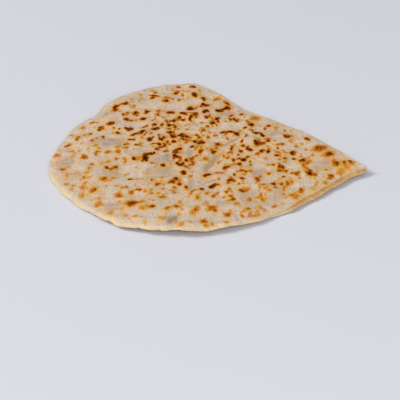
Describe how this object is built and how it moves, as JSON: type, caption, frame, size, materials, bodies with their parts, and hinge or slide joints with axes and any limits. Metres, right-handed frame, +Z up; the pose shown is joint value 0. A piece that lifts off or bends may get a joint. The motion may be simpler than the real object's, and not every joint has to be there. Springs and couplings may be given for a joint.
{
  "type": "folded meat flatbread",
  "caption": "Thin flatbread folded in half over a layer of minced meat, its open edge pressed into a flat lip, baked dry in brown spots.",
  "frame": {"origin": "middle of the bread's box on the surface it lies on", "axes": "+Z up through the thin way, +X along the fold towards the sharper corner, +Y from the pressed lip to the fold"},
  "size_m": [0.2458, 0.1972, 0.0068],
  "materials": {
    "baked_dough": "matte baked dough, creamy, with golden to dark brown griddle spots"
  },
  "bodies": {
    "root": {"flatbread": "baked_dough"}
  },
  "joints": []
}
